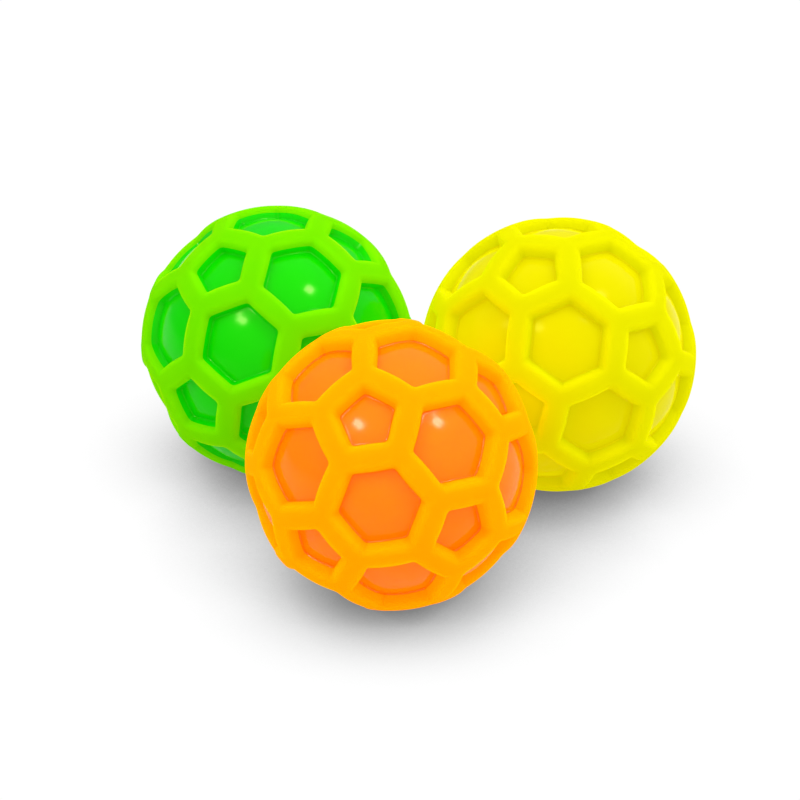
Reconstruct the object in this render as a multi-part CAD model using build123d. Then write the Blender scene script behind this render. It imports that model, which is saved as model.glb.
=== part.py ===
from build123d import *
import math
import os

# A set of three dimpled high-bounce balls, standing close together in a triangle.
# Each ball is one solid foam-rubber moulding.  Its skin is a net of ribs around 32 sunken
# tiles, 20 six-sided and 12 five-sided, laid out as on a football.
# Millimetres.  +Z is up, the balls stand on Z = 0, and the front of the set is -Y.

# ---- driving dimensions ---------------------------------------------------------------------
BALL_DIAMETER = 63.0      # over the ribs
RECESS_DEPTH = 3.1        # from the skin of the ribs down to the edge of a tile's floor
DOME_RADIUS = 19.0        # every floor swells towards its middle
HEX_RIM_ANGLE = 16.4      # middle of a six-sided tile to the middle of its side, at the skin
HEX_FLOOR_ANGLE = 15.4    # the same, at the edge of the floor: the walls lean outwards
PENT_RIM_ANGLE = 11.1     # the same two angles for a five-sided tile, all in degrees
PENT_FLOOR_ANGLE = 10.1
CORNER_RADIUS = 1.4       # in the upright corners of a tile, at the skin
BALL_GAP = 1.8            # between one ball and the next

# Each ball's name, its heading from the middle of the triangle, and how it has come to rest:
# its turns about X, Y and Z.  All in degrees.
BALLS = [
    ("orange_ball", -96, (10, -11, -1)),
    ("green_ball", 144, (-9, -23, -8)),
    ("yellow_ball", 24, (-9, -22, 10)),
]

# ---- worked out from them -------------------------------------------------------------------
RADIUS = BALL_DIAMETER / 2
FLOOR_RADIUS = RADIUS - RECESS_DEPTH
TRIANGLE_RADIUS = (BALL_DIAMETER + BALL_GAP) / math.sqrt(3)
CUTTER_START = FLOOR_RADIUS * 0.9     # a cutter's two ends, measured from the ball's middle
CUTTER_END = RADIUS * 1.05


def tile_centres():
    """Unit vectors to the middles of the 12 five-sided and the 20 six-sided tiles.

    The five-sided ones are the corners of an icosahedron, and the six-sided ones its faces.
    """
    golden = (1 + math.sqrt(5)) / 2
    pents = []
    for a in (-1, 1):
        for b in (-golden, golden):
            pents += [Vector(0, a, b), Vector(a, b, 0), Vector(b, 0, a)]
    pents = [pent.normalized() for pent in pents]
    neighbours = math.cos(math.radians(70))     # two neighbouring corners are 63.4 degrees apart
    hexes = []
    for i, one in enumerate(pents):
        for j, two in enumerate(pents[:i]):
            for three in pents[:j]:
                if min(one.dot(two), two.dot(three), three.dot(one)) > neighbours:
                    hexes.append((one + two + three).normalized())
    return pents, hexes


def wall_offset(reach, rim_angle, floor_angle):
    """How far a wall is from its tile's axis, at a distance along that axis."""
    rim = math.radians(rim_angle)
    floor = math.radians(floor_angle)
    rise = RADIUS * math.cos(rim) - FLOOR_RADIUS * math.cos(floor)
    lean = (RADIUS * math.sin(rim) - FLOOR_RADIUS * math.sin(floor)) / rise
    return RADIUS * math.sin(rim) + (reach - RADIUS * math.cos(rim)) * lean


def tile_cutter(centre, neighbour, sides, rim_angle, floor_angle):
    """The space over one tile, down to its domed floor."""
    toward = neighbour - centre * neighbour.dot(centre)
    rim_offset = wall_offset(RADIUS, rim_angle, floor_angle)
    ends = []
    for reach in (CUTTER_START, CUTTER_END):
        offset = wall_offset(reach, rim_angle, floor_angle)
        # A side of the tile, not a corner, faces the neighbouring tile.
        outline = RegularPolygon(offset, sides, major_radius=False, rotation=180 / sides)
        outline = fillet(outline.vertices(), CORNER_RADIUS * offset / rim_offset)
        ends.append(Plane(origin=centre * reach, x_dir=toward, z_dir=centre) * outline)
    # The dome passes through the middles of the floor's sides.  Its sphere has its seam on the
    # far side and its poles at right angles to the tile.
    floor = math.radians(floor_angle)
    sunk = math.sqrt(DOME_RADIUS**2 - (FLOOR_RADIUS * math.sin(floor)) ** 2)
    dome_middle = FLOOR_RADIUS * math.cos(floor) - sunk
    dome = Plane(origin=centre * dome_middle, x_dir=-centre, z_dir=toward) * Sphere(DOME_RADIUS)
    return loft(ends) - dome


def dimpled_ball():
    """One ball, its middle at the origin, before it is turned and put in its place."""
    pents, hexes = tile_centres()
    cutters = []
    for centre in pents:
        neighbour = max(hexes, key=centre.dot)
        cutters.append(tile_cutter(centre, neighbour, 5, PENT_RIM_ANGLE, PENT_FLOOR_ANGLE))
    for centre in hexes:
        neighbour = max(pents, key=centre.dot)
        cutters.append(tile_cutter(centre, neighbour, 6, HEX_RIM_ANGLE, HEX_FLOOR_ANGLE))
    # The skin's sphere has its poles in the middle of two tiles, where they are cut away.
    skin = Plane(origin=(0, 0, 0), z_dir=hexes[0]) * Sphere(RADIUS)
    return skin - cutters


def stand(ball, heading, turns):
    """The ball turned as it lies, at its corner of the triangle, its lowest rib on Z = 0."""
    along = math.radians(heading)
    turned = Rotation(*turns) * ball
    lowest = turned.bounding_box().min.Z
    return Pos(TRIANGLE_RADIUS * math.cos(along), TRIANGLE_RADIUS * math.sin(along), -lowest) * turned


template = dimpled_ball()
balls = {name: stand(template, heading, turns) for name, heading, turns in BALLS}

# The origin goes under the middle of the set's outer box.
boxes = [ball.bounding_box() for ball in balls.values()]
middle_x = (min(box.min.X for box in boxes) + max(box.max.X for box in boxes)) / 2
middle_y = (min(box.min.Y for box in boxes) + max(box.max.Y for box in boxes)) / 2

os.makedirs("parts", exist_ok=True)
for name, ball in balls.items():
    placed = Pos(-middle_x, -middle_y, 0) * ball
    export_step(placed, f"parts/{name}.step")
    box = placed.bounding_box()
    middle = placed.center()
    print(f"{name}: middle ({middle.X:.2f}, {middle.Y:.2f}, {middle.Z:.2f}) mm, height {box.max.Z:.2f} mm,",
          f"volume {placed.volume / 1000:.1f} cm3")
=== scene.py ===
# %% [markdown]
# # Three dimpled bounce balls
# The object is a set of three high-bounce balls of self-skinned foam rubber: an orange one in
# front, a green and a yellow one behind.  Each is a single moulding.  Its skin is a net of ribs
# round 32 sunken tiles, laid out as on a football: 12 tiles have five sides and 20 have six.
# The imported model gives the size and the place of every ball.  This lesson builds a finer skin
# for each, gives it rubber, and lights the set.

# %% Load the frame
import bpy, bmesh, math
from mathutils import Matrix, Vector, noise


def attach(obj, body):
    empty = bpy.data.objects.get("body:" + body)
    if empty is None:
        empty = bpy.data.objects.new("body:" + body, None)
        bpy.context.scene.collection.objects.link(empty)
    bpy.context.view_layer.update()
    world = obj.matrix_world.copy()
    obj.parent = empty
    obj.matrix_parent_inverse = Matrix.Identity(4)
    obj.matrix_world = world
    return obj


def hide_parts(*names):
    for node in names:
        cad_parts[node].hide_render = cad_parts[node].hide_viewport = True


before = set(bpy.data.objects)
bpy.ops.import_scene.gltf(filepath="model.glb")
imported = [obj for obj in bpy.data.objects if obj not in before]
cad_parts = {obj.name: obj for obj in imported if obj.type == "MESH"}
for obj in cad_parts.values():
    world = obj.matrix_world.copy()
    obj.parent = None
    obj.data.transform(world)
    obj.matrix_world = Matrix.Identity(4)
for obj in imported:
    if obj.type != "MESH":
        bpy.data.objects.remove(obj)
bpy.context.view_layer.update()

# %% [markdown]
# ## Sizes
# Lengths are in metres.  They are the ones that the balls were designed with, plus the small
# roundings that a mould gives its edges, which a sharp model leaves out.  Rounded edges matter:
# they catch the thin lines of light that tell the eye how thick and how soft a thing is.

# %% Sizes of a ball
MM = 0.001
SKIN_RADIUS = 31.5 * MM         # over the ribs
FLOOR_RADIUS = 28.4 * MM        # to the edge of a tile's floor
DOME_RADIUS = 19.0 * MM         # the floor's own swelling
CORNER_RADIUS = 1.4 * MM        # in the upright corners of a tile, at the skin
RIM_ROUNDING = 1.2 * MM         # how far the rounding of a rib's edge reaches
FLOOR_ROUNDING = 0.4 * MM       # the same for the hollow corner where wall meets floor
TILES = {                       # sides: (rim angle, floor angle), from middle to middle of a side
    6: (math.radians(16.4), math.radians(15.4)),
    5: (math.radians(11.1), math.radians(10.1)),
}
TURNS = {                       # how each ball has come to rest, about X, Y and Z, in degrees
    "orange_ball": (10, -11, -1),
    "green_ball": (-9, -23, -8),
    "yellow_ball": (-9, -22, 10),
}
print("tiles are", round((SKIN_RADIUS - FLOOR_RADIUS) / MM, 1), "mm deep at their edges")

# %% [markdown]
# ## Where the tiles are
# A football's five-sided tiles sit at the 12 corners of an icosahedron and its six-sided ones at
# the middles of the 20 faces.  The corner points of all tiles lie a third of the way along the
# icosahedron's edges.  Working them out takes a few lines, and the pattern is then exact all
# round, which no amount of placing by hand would give.

# %% Corners of the pattern
def icosahedron():
    """Unit vectors to the twelve corners."""
    golden = (1 + math.sqrt(5)) / 2
    corners = []
    for a in (-1, 1):
        for b in (-golden, golden):
            corners += [Vector((0, a, b)), Vector((a, b, 0)), Vector((b, 0, a))]
    return [corner.normalized() for corner in corners]


def ordered(centre, around):
    """The vectors in around, sorted anticlockwise about centre."""
    first = (around[0] - centre * around[0].dot(centre)).normalized()
    second = centre.cross(first)
    return sorted(around, key=lambda v: math.atan2(v.dot(second), v.dot(first)))


print(len(icosahedron()), "corners")

# %% [markdown]
# ## Two kinds of tile
# Neighbouring corners of an icosahedron are 63 degrees apart and all others more than 100, so
# one limit between the two finds every edge.  A corner with its five edges gives a five-sided
# tile.  Three corners that are all neighbours give a face, and so a six-sided tile.

# %% Tile directions
EDGE_LIMIT = math.cos(math.radians(70))


def football_tiles():
    """Each tile as (centre, its corner directions in order)."""
    corners = icosahedron()
    tiles = []
    for one in corners:
        beside = [two for two in corners if two is not one and one.dot(two) > EDGE_LIMIT]
        tiles.append((one, ordered(one, [(2 * one + two).normalized() for two in beside])))
    for i, one in enumerate(corners):
        for j, two in enumerate(corners[:i]):
            for three in corners[:j]:
                if min(one.dot(two), two.dot(three), three.dot(one)) > EDGE_LIMIT:
                    face = (one, two, three)
                    around = [(2 * a + b).normalized() for a in face for b in face if a != b]
                    centre = (one + two + three).normalized()
                    tiles.append((centre, ordered(centre, around)))
    return tiles


print(len(football_tiles()), "tiles")

# %% [markdown]
# ## The section through a tile
# From its middle outwards, a tile is a domed floor, a hollow rounding, a wall that leans out, the
# rounded edge of a rib, and the rib's skin.  Only a few heights and one curve are needed to draw
# it.  A rounding is a quadratic Bezier curve from one face to the next, because that needs only
# the corner and a reach, and it leaves both faces smoothly.

# %% Heights and roundings
ROUND_STEPS = 5


def bend(start, corner, end):
    """Points along a quadratic Bezier curve that rounds a corner."""
    points = []
    for step in range(ROUND_STEPS + 1):
        t = step / ROUND_STEPS
        points.append(start * (1 - t) ** 2 + corner * 2 * t * (1 - t) + end * t**2)
    return points


def dome_height(reach, dome_middle):
    """Height of the floor above the ball's middle, at a distance from the tile's axis."""
    return dome_middle + math.sqrt(DOME_RADIUS**2 - reach**2)


def skin_height(reach):
    """The same for the skin over the ribs."""
    return math.sqrt(SKIN_RADIUS**2 - reach**2)


print(ROUND_STEPS + 1, "points in a rounding")

# %% [markdown]
# ## Rings
# One list of rings then describes a tile.  Every ring has two numbers: how far out it lies, and
# its rise, which is 0 on the floor and 1 on the skin.  A rise is better than a plain height here,
# because floor and skin both curve, and the corners of a ring lie further out than its sides.

# %% Rings of a tile
FLOOR_RINGS, WALL_RINGS = 7, 4


def tile_rings(sides):
    """([(reach, rise), ...], the dome's middle) for a tile, at the middle of one of its sides."""
    rim_angle, floor_angle = TILES[sides]
    rim = SKIN_RADIUS * Vector((math.sin(rim_angle), math.cos(rim_angle)))
    floor_edge = FLOOR_RADIUS * Vector((math.sin(floor_angle), math.cos(floor_angle)))
    dome_middle = floor_edge.y - math.sqrt(DOME_RADIUS**2 - floor_edge.x**2)
    wall = (rim - floor_edge).normalized()

    inner = floor_edge.x - FLOOR_ROUNDING
    reaches = [inner * ring / FLOOR_RINGS for ring in range(1, FLOOR_RINGS)]
    section = [Vector((reach, dome_height(reach, dome_middle))) for reach in reaches]
    foot = Vector((inner, dome_height(inner, dome_middle)))
    section += bend(foot, floor_edge, floor_edge + wall * FLOOR_ROUNDING)
    low, high = section[-1], rim - wall * RIM_ROUNDING
    section += [low.lerp(high, step / WALL_RINGS) for step in range(1, WALL_RINGS)]
    outer = rim.x + RIM_ROUNDING
    section += bend(high, rim, Vector((outer, skin_height(outer))))

    rings = []
    for point in section:
        floor_z, skin_z = dome_height(point.x, dome_middle), skin_height(point.x)
        rings.append((point.x, min(1, max(0, (point.y - floor_z) / (skin_z - floor_z)))))
    return rings, dome_middle


for sides in TILES:
    rings, _ = tile_rings(sides)
    print(sides, "sides:", len(rings), "rings, reaching", round(rings[-1][0] / MM, 2), "mm")

# %% [markdown]
# ## One outline with rounded corners
# Seen from straight above, a ring is a polygon with round corners.  Its reach in any direction
# comes from the straight side, or near a corner from the corner's circle.  Towards the middle of
# the floor the corners get rounder, until the smallest ring is a circle, so the quads stay even
# and the dome takes the light without a star-shaped crease.

# %% Rounded outline
def outline_reach(turn, sides, apothem, rounding):
    """Distance to a rounded polygon's edge, turn radians away from the middle of a side."""
    half = math.pi / sides
    along_side = (apothem - rounding) * math.tan(half)
    if math.tan(turn) * apothem <= along_side:
        return apothem / math.cos(turn)
    to_centre = (apothem - rounding) / math.cos(half)
    away = half - turn
    across = max(0, rounding**2 - (to_centre * math.sin(away)) ** 2)
    return to_centre * math.cos(away) + math.sqrt(across)


def corner_rounding(sides, apothem):
    """The corner radius of a ring on the walls: it grows with the ring."""
    return CORNER_RADIUS * apothem / (SKIN_RADIUS * math.sin(TILES[sides][0]))


hexagon_rim = SKIN_RADIUS * math.sin(TILES[6][0])
corner_reach = outline_reach(math.pi / 6, 6, hexagon_rim, CORNER_RADIUS)
print("corner to corner of a six-sided rim:", round(2 * corner_reach / MM, 1), "mm")

# %% [markdown]
# ## Spokes
# A ball could be a sphere with the tiles cut out by booleans, but that leaves long thin faces
# that shade badly when rounded.  Here each tile is a fan of quads from its middle to its border.
# Every spoke of the fan ends at a border point.  Neighbouring tiles work out the same points for
# the border that they share, so their fans meet with no gap.  The points stand closer together
# near the corners, where the outline turns.

# %% Border and spokes
STEPS_PER_SIDE = 12             # points along one side of a tile


def border_points(corners):
    """Directions along a tile's border, closer together near its corners."""
    points = []
    for start, end in zip(corners, corners[1:] + corners[:1]):
        for step in range(STEPS_PER_SIDE):
            share = (1 - math.cos(math.pi * step / STEPS_PER_SIDE)) / 2
            share = 0.5 * share + 0.5 * step / STEPS_PER_SIDE
            points.append(start.lerp(end, share).normalized())
    return points


def tile_spokes(centre, corners):
    """Each spoke as (outward, its turn from the nearest side's middle, reach at the border)."""
    sides = len(corners)
    side_middle = (corners[0] + corners[1]).normalized()
    first = (side_middle - centre * side_middle.dot(centre)).normalized()
    second = centre.cross(first)
    spokes = []
    for point in border_points(corners):
        flat = point - centre * point.dot(centre)
        angle = math.atan2(flat.dot(second), flat.dot(first))
        turn = abs((angle + math.pi / sides) % (2 * math.pi / sides) - math.pi / sides)
        spokes.append((flat.normalized(), turn, flat.length * SKIN_RADIUS))
    return spokes


print(len(tile_spokes(*football_tiles()[0])), "spokes in a five-sided tile")

# %% [markdown]
# ## Points of a tile
# Ring by ring, a point goes out along its spoke by the outline's reach and up by the ring's rise.
# The last few rings leave the outline and spread over the rib to the border.

# %% Points of a tile
RIB_RINGS = 3                   # steps from the rib's rounded edge to the tile's border


def tile_points(centre, corners):
    """A tile's middle point, and its rings from there to the border, each as (points, rise)."""
    sides = len(corners)
    rings, dome_middle = tile_rings(sides)
    spokes = tile_spokes(centre, corners)
    floor_reach = FLOOR_RADIUS * math.sin(TILES[sides][1])

    made = []
    for apothem, rise in rings:
        share = min(1, apothem / floor_reach)
        rounding = apothem + (corner_rounding(sides, apothem) - apothem) * share**2
        ring = []
        for outward, turn, _ in spokes:
            reach = outline_reach(turn, sides, apothem, rounding)
            height = (1 - rise) * dome_height(reach, dome_middle) + rise * skin_height(reach)
            ring.append(centre * height + outward * reach)
        made.append((ring, rise))

    edge = rings[-1][0]
    for step in range(1, RIB_RINGS):
        ring = []
        for outward, turn, full in spokes:
            start = outline_reach(turn, sides, edge, corner_rounding(sides, edge))
            reach = start + (full - start) * step / RIB_RINGS
            ring.append(centre * skin_height(reach) + outward * reach)
        made.append((ring, 1))
    made.append(([point * SKIN_RADIUS for point in border_points(corners)], 1))
    return centre * dome_height(0, dome_middle), made


print(len(tile_points(*football_tiles()[0])[1]), "rings of points in a five-sided tile")

# %% [markdown]
# ## A closed net
# The fans are joined wherever their border points meet, which makes one closed skin.  Each face
# is marked for one of two finishes, because the floors of a ball are glossy and its ribs matte.
# The gloss need not stop just where the floor does: on the green ball it seems to run part of the
# way up the walls, and on the other two it stops early.  On the green ball it is carried part of
# the way up the walls, where its deeper tone is painted shade; on the other two it stops early.

# %% Net of faces
# A wall with the floor's finish also takes the floor's deeper tone, which is painted shade there.
FLOOR_ENDS = {                  # the rise up to which a ball's walls have the floor's finish
    "orange_ball": 0.15,
    "green_ball": 0.6,
    "yellow_ball": 0.15,
}
JOIN_WITHIN = 0.002 * MM


def ball_net(floor_end):
    """The skin round the origin.  Finish 0 is for the ribs and finish 1 for the floors."""
    net = bmesh.new()
    for centre, corners in football_tiles():
        top, rings = tile_points(centre, corners)
        middle = net.verts.new(top)
        before = None
        for ring, rise in rings:
            now = [net.verts.new(point) for point in ring]
            for i, vert in enumerate(now):
                after = (i + 1) % len(now)
                if before is None:
                    face = net.faces.new((middle, vert, now[after]))
                else:
                    face = net.faces.new((before[i], vert, now[after], before[after]))
                face.material_index = 1 if rise < floor_end else 0
                face.smooth = True
            before = now
    bmesh.ops.remove_doubles(net, verts=net.verts, dist=JOIN_WITHIN)
    bmesh.ops.recalc_face_normals(net, faces=net.faces)
    return net


trial = ball_net(FLOOR_ENDS["orange_ball"])
print("open edges:", sum(not edge.is_manifold for edge in trial.edges))
trial.free()

# %% [markdown]
# ## Turned, and a little uneven
# The net is turned to the way its ball has come to rest.  A foam moulding is never perfect, so a
# slow wave of a few hundredths of a millimetre goes over it first.  That is enough to make the
# reflections in the floors a little uneven.  The wave only goes inwards, so the ball never grows
# past its real size.

# %% Ball mesh
WAVE_HEIGHT = 0.05 * MM
WAVE_LENGTH = 9.0 * MM


def ball_mesh(name, turns, floor_end):
    """The finished skin of one ball round the origin."""
    net = ball_net(floor_end)
    x, y, z = (math.radians(turn) for turn in turns)
    lie = Matrix.Rotation(x, 3, "X") @ Matrix.Rotation(y, 3, "Y") @ Matrix.Rotation(z, 3, "Z")
    shift = Vector(turns)       # gives every ball a wave of its own
    for vert in net.verts:
        wave = noise.noise(vert.co / WAVE_LENGTH + shift)
        vert.co = lie @ (vert.co * (1 - WAVE_HEIGHT * (1 + wave) / 2 / SKIN_RADIUS))
    mesh = bpy.data.meshes.new(name)
    net.to_mesh(mesh)
    net.free()
    return mesh


print("wave of up to", round(WAVE_HEIGHT / MM, 2), "mm")

# %% [markdown]
# ## Where a ball sits
# The frame holds every ball in its place.  A ball's pattern is the same in opposite directions,
# so its middle is the middle of its volume, and that can be summed over the triangles of the
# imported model: each triangle and the origin make a thin pyramid.

# %% Middle of a packed ball
def volume_middle(node):
    """The middle of a node's volume."""
    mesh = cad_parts[node].data
    mesh.calc_loop_triangles()
    total, weighted = 0.0, Vector((0, 0, 0))
    for triangle in mesh.loop_triangles:
        a, b, c = (mesh.vertices[i].co for i in triangle.vertices)
        volume = a.dot(b.cross(c)) / 6
        total += volume
        weighted += (a + b + c) * volume / 4
    return weighted / total


middles = {node: volume_middle(node) for node in TURNS}
for node, middle in middles.items():
    print(node, "middle in mm:", [round(v / MM, 2) for v in middle])

# %% [markdown]
# ## Helpers for materials
# A material is a small net of nodes: noise makes a pattern, a map stretches it to the wanted
# range, and the shader uses it.  Writing the nodes with one short helper keeps the recipe
# readable, and every number is set on the node's own socket.

# %% Node helpers
def linked(tree, kind, inputs, **settings):
    """A new node, with its settings and with values or sockets on its inputs."""
    node = tree.nodes.new(kind)
    for key, value in settings.items():
        setattr(node, key, value)
    for key, value in inputs.items():
        if isinstance(value, bpy.types.NodeSocket):
            tree.links.new(value, node.inputs[key])
        else:
            node.inputs[key].default_value = value
    return node


def noise_at(tree, place, size, detail):
    """Soft noise whose lumps are about size across."""
    inputs = {"Vector": place, "Scale": 1 / size, "Detail": detail}
    return linked(tree, "ShaderNodeTexNoise", inputs).outputs["Fac"]


def ramp(tree, value, low, high, to_low=0.0, to_high=1.0):
    """The value between low and high, stretched to run from to_low to to_high."""
    inputs = {"Value": value, "From Min": low, "From Max": high,
              "To Min": to_low, "To Max": to_high}
    stretch = linked(tree, "ShaderNodeMapRange", inputs, interpolation_type="SMOOTHSTEP")
    return stretch.outputs["Result"]


print("helpers:", ", ".join(helper.__name__ for helper in (linked, noise_at, ramp)))

# %% [markdown]
# ## Rubber
# Light goes nearly a centimetre into this foam and comes out again, so it has no hard shading at
# its edges.  Subsurface scattering does that.  The pigments are neon ones, which turn violet
# light into their own colour.  An emission in the rubber's own tone is painted light: the rubber
# shines by itself, even in the creases, and that lightens its shade.  Two tones that slow clouds
# of noise mix keep the colour alive, and the same kind of noise makes the gloss slightly uneven.

# %% Rubber
GLOW_DEPTH = 9 * MM
CLOUD_SIZE = 14.0 * MM          # slow change of colour through the foam
SMEAR_SIZE = 5.4 * MM           # slow change of gloss
NOISE_LOW, NOISE_HIGH = 0.3, 0.7
BUMP_STRENGTH = 0.3


def rubber(name, tones, painted_glow, depth, gloss, roughness, sheen_tint, bump_size, bump_height):
    """A rubber finish.  gloss is its specular level and sheen_tint the colour of its sheen."""
    material = bpy.data.materials.new(name)
    material.use_nodes = True
    tree = material.node_tree
    tone, deep_tone = ((*colour, 1) for colour in tones)
    shader = tree.nodes["Principled BSDF"]
    shader.inputs["Specular IOR Level"].default_value = gloss
    shader.inputs["Specular Tint"].default_value = (*sheen_tint, 1)
    # The emission is painted light: the rubber shines by itself in its own tone, lightening its
    # shade.
    shader.inputs["Emission Color"].default_value = tone
    shader.inputs["Emission Strength"].default_value = painted_glow
    shader.inputs["Subsurface Weight"].default_value = 1.0
    shader.inputs["Subsurface Scale"].default_value = depth
    shader.inputs["Subsurface Radius"].default_value = (1, 1, 1)
    place = linked(tree, "ShaderNodeTexCoord", {}).outputs["Object"]

    # The mix node's inputs 6 and 7 are its two colours.
    clouds = ramp(tree, noise_at(tree, place, CLOUD_SIZE, 3), NOISE_LOW, NOISE_HIGH)
    colour = linked(tree, "ShaderNodeMix", {0: clouds, 6: tone, 7: deep_tone}, data_type="RGBA")
    tree.links.new(colour.outputs[2], shader.inputs["Base Color"])
    smear = noise_at(tree, place, SMEAR_SIZE, 4)
    uneven = ramp(tree, smear, NOISE_LOW, NOISE_HIGH, roughness * 0.9, roughness * 1.1)
    tree.links.new(uneven, shader.inputs["Roughness"])
    bump = linked(tree, "ShaderNodeBump", {
        "Height": noise_at(tree, place, bump_size, 2),
        "Strength": BUMP_STRENGTH, "Distance": bump_height,
    })
    tree.links.new(bump.outputs["Normal"], shader.inputs["Normal"])
    return material


print("light goes", round(GLOW_DEPTH / MM), "mm into the foam")

# %% [markdown]
# ## Two finishes
# The ribs are matte, paler and very finely grained, as a blasted mould leaves them.  The floors
# are glossy, as from a polished one.  Their deeper colour is partly their polish and partly
# painted shade, which stands for light that bounces round inside a hollow and deepens its colour.
# They are two materials on one skin, because gloss that changes from place to place on a single
# shader is easily lost when a model goes to another program.  Their sheen is tinted a little
# towards the rubber's colour, so that it doesn't turn the colour pale.

# %% Matte and glossy
GRAIN_SIZE, GRAIN_HEIGHT = 0.28 * MM, 0.05 * MM     # blasted texture of the ribs
PEEL_SIZE, PEEL_HEIGHT = 1.8 * MM, 0.04 * MM        # faint orange peel of the polished floors
RIB_GLOSS, RIB_ROUGHNESS = 0.01, 0.8
FLOOR_GLOSS, FLOOR_ROUGHNESS = 0.25, 0.16
WHITE = (1, 1, 1)


def matte(name, tones, painted_glow=0.55, depth=GLOW_DEPTH):
    """The ribs' finish."""
    return rubber(name, tones, painted_glow, depth, RIB_GLOSS, RIB_ROUGHNESS, WHITE,
                  GRAIN_SIZE, GRAIN_HEIGHT)


def glossy(name, tones, sheen_tint, painted_glow=0.35, depth=GLOW_DEPTH, gloss=FLOOR_GLOSS):
    """The floors' finish.  Its deeper tones are partly polish and partly painted shade."""
    return rubber(name, tones, painted_glow, depth, gloss, FLOOR_ROUGHNESS, sheen_tint,
                  PEEL_SIZE, PEEL_HEIGHT)


print("roughness: ribs", RIB_ROUGHNESS, "and floors", FLOOR_ROUGHNESS)

# %% [markdown]
# ## Three colours
# Each ball has a pair of finishes, and each finish has two tones that lie close together.  The
# yellow rubber is special: its pigment hardly swallows light.  So the light goes deeper into it,
# and its floors show little gloss.  Its painted glow is stronger too, which lightens the shade on
# its walls, so its ribs stand out least.

# %% Orange, green and yellow
CLEAR_DEPTH = 12 * MM
CLEAR_RIB_PAINTED_GLOW, CLEAR_FLOOR_PAINTED_GLOW = 1.0, 0.95
CLEAR_GLOSS = 0.08

# The floors' tones are deeper than the ribs': partly their polish, partly painted shade of
# hollows.
rubbers = {
    "orange_ball": (
        matte("orange_ribs", ((0.95, 0.275, 0.0), (0.94, 0.265, 0.0))),
        glossy("orange_floors", ((0.94, 0.20, 0.0), (0.93, 0.19, 0.0)), (1.0, 0.95, 0.75)),
    ),
    "green_ball": (
        matte("green_ribs", ((0.12, 0.50, 0.0), (0.105, 0.485, 0.0))),
        glossy("green_floors", ((0.003, 0.55, 0.0), (0.002, 0.53, 0.0)), (0.8, 1.0, 0.3)),
    ),
    "yellow_ball": (
        matte("yellow_ribs", ((0.395, 0.385, 0.0), (0.39, 0.38, 0.0)),
              CLEAR_RIB_PAINTED_GLOW, CLEAR_DEPTH),
        glossy("yellow_floors", ((0.445, 0.405, 0.0), (0.44, 0.40, 0.0)), (1.0, 1.0, 0.1),
               CLEAR_FLOOR_PAINTED_GLOW, CLEAR_DEPTH, CLEAR_GLOSS),
    ),
}
print("finishes:", [finish.name for pair in rubbers.values() for finish in pair])

# %% [markdown]
# ## The three balls
# Each new skin takes the place of its packed ball, and rides on the same body, so it lifts when
# that body lifts.

# %% Build the balls
for node, turns in TURNS.items():
    colour = node.split("_")[0]
    name = f"{colour}_skin"
    ball = bpy.data.objects.new(name, ball_mesh(name, turns, FLOOR_ENDS[node]))
    ball.location = middles[node]
    bpy.context.collection.objects.link(ball)
    for finish in rubbers[node]:
        ball.data.materials.append(finish)
    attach(ball, colour)
    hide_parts(node)
    print(name, len(ball.data.vertices), "points,", len(ball.data.polygons), "faces")

# %% [markdown]
# ## White paper
# The balls stand on a wide matte white sheet.  It throws light back up under them, which is why
# their undersides stay bright.  In a studio such a sheet is lit until it is pure white and only
# the soft grey shade where a ball touches it is left.  So the camera sees the sheet as plain
# white, darkened by ambient occlusion, which is how much of the sky a point can't see.  All other
# rays meet ordinary white paper.

# %% Paper
PAPER_TONE = (0.6, 0.6, 0.6, 1)
SHADE_REACH = 0.045             # how far from a ball its shade begins, in metres
SHADE_LEAN = (0.0, -0.2, 0.98)  # the part of the sky that counts leans to the front
OPEN_SKY = 0.9                  # a point that sees this much of the sky is plain white
DARKEST, PLAIN_WHITE = 0.12, 1.02


def white_paper():
    """Paper that looks lit to pure white, with a soft shade round whatever touches it."""
    material = bpy.data.materials.new("white_paper")
    material.use_nodes = True
    tree = material.node_tree
    paper = tree.nodes["Principled BSDF"]
    paper.inputs["Roughness"].default_value = 0.9
    paper.inputs["Specular IOR Level"].default_value = 0.0
    paper.inputs["Base Color"].default_value = PAPER_TONE
    lean = linked(tree, "ShaderNodeCombineXYZ", dict(zip("XYZ", SHADE_LEAN))).outputs[0]
    occlusion = linked(tree, "ShaderNodeAmbientOcclusion",
                       {"Distance": SHADE_REACH, "Normal": lean}, samples=16)
    shade = ramp(tree, occlusion.outputs["AO"], 0.0, OPEN_SKY, DARKEST, PLAIN_WHITE)
    lit = linked(tree, "ShaderNodeEmission", {"Strength": shade}).outputs["Emission"]
    seen = linked(tree, "ShaderNodeLightPath", {}).outputs["Is Camera Ray"]
    either = linked(tree, "ShaderNodeMixShader", {0: seen, 1: paper.outputs["BSDF"], 2: lit})
    tree.links.new(either.outputs[0], tree.nodes["Material Output"].inputs["Surface"])
    return material


print("shade reaches", round(SHADE_REACH / MM), "mm")

# %% [markdown]
# ## Floor
# The sheet is so wide that its edges are never in view.  It belongs to the studio and not to
# the object.

# %% White floor
FLOOR_SIZE = 6.0

bpy.ops.mesh.primitive_plane_add(size=FLOOR_SIZE, location=(0, 0, 0))
sheet = bpy.context.object
sheet.name = "white_floor"
sheet.data.materials.append(white_paper())
print(sheet.name, "is", FLOOR_SIZE, "m wide")

# %% [markdown]
# ## World
# The set stands in a white studio, and an even world stands for its walls and ceiling.  It is
# brightest above and in front, a little to the right, which gives each ball a soft light side.
# The standard view is chosen because the default one turns neon colours pastel.

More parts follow.
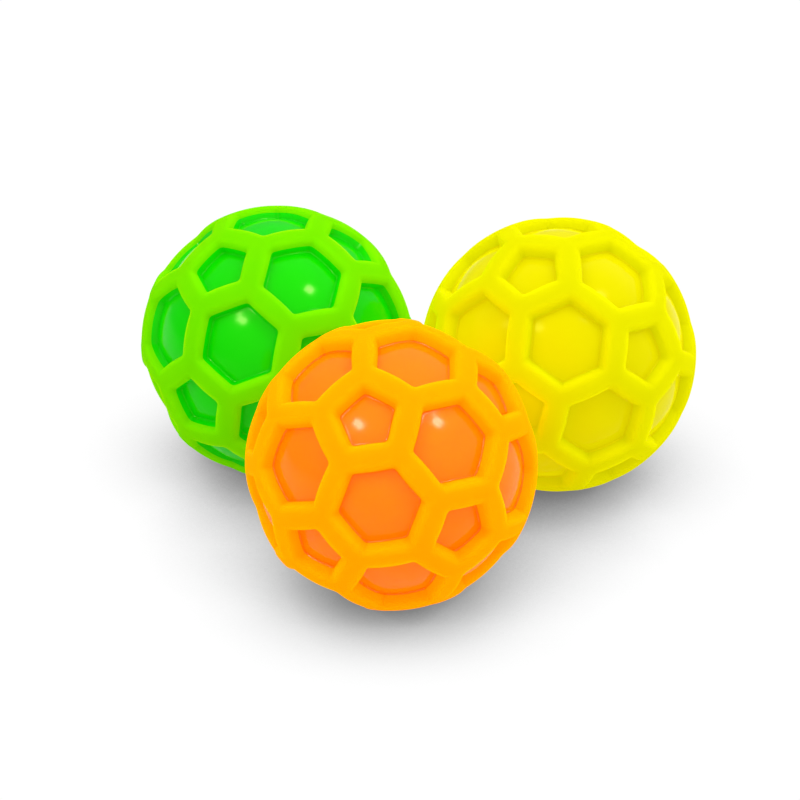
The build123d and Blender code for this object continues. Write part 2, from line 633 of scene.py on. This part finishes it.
# %% World
BRIGHT_SIDE = Vector((0.3, -0.4, 0.87))
DIM_FROM, BRIGHT_FROM = -0.5, 0.9       # how far a direction agrees with the bright side
DIMMEST, BRIGHTEST = 0.2, 0.88
bpy.context.scene.view_settings.view_transform = "Standard"

world = bpy.data.worlds.new("white_studio")
bpy.context.scene.world = world
world.use_nodes = True
tree = world.node_tree
# On a world, the generated coordinate is the direction that is looked in.
direction = linked(tree, "ShaderNodeTexCoord", {}).outputs["Generated"]
facing = linked(tree, "ShaderNodeVectorMath", {0: direction, 1: BRIGHT_SIDE},
                operation="DOT_PRODUCT").outputs["Value"]
strength = ramp(tree, facing, DIM_FROM, BRIGHT_FROM, DIMMEST, BRIGHTEST)
background = tree.nodes["Background"]
background.inputs["Color"].default_value = (1, 1, 1, 1)
tree.links.new(strength, background.inputs["Strength"])
print("world from", DIMMEST, "to", BRIGHTEST)

# %% [markdown]
# ## Lamps
# Two soft lamps, high on the left and on the right, put the small highlights into the glossy
# floors.  They are small and bright, because a highlight's size is the lamp's size and its
# strength is the lamp's radiance.  The power is worked out from both.

# %% Softboxes
LAMP_DISTANCE = 1.1
LAMP_RADIANCE = 26
LAMPS = {                       # name: (direction from the set, width, height)
    "right_softbox": ((0.50, -0.20, 0.88), 0.2, 0.2),
    "left_softbox": ((-0.50, -0.39, 0.78), 0.26, 0.16),
}

for name, (direction, width, height) in LAMPS.items():
    lamp = bpy.data.lights.new(name, "AREA")
    lamp.shape = "RECTANGLE"
    lamp.size, lamp.size_y = width, height
    lamp.energy = LAMP_RADIANCE * math.pi * width * height
    holder = bpy.data.objects.new(name, lamp)
    toward = Vector(direction).normalized()
    holder.location = toward * LAMP_DISTANCE + Vector((0, 0, SKIN_RADIUS))
    holder.rotation_euler = toward.to_track_quat("Z", "Y").to_euler()
    bpy.context.collection.objects.link(holder)
    print(name, round(lamp.energy, 2), "W")

# %% [markdown]
# ## Camera
# A long lens from a raised, frontal viewpoint, aimed at the middle of the set at half the height
# of a ball.  From further away with a longer lens the balls would look alike in size, and from
# close by the front one would loom.

# %% Camera
LENS = 151.0                    # millimetres, on the usual 36 mm sensor
TILT = math.radians(27.8)       # how far the camera looks down
DISTANCE = 0.748
AIM = Vector((-4 * MM, 0, SKIN_RADIUS))

eye = bpy.data.cameras.new("camera")
eye.lens = LENS
camera = bpy.data.objects.new("camera", eye)
camera.location = AIM + Vector((0, -math.cos(TILT), math.sin(TILT))) * DISTANCE
camera.rotation_euler = (math.pi / 2 - TILT, 0, 0)
bpy.context.collection.objects.link(camera)
bpy.context.scene.camera = camera
print("camera at", [round(v, 3) for v in camera.location])
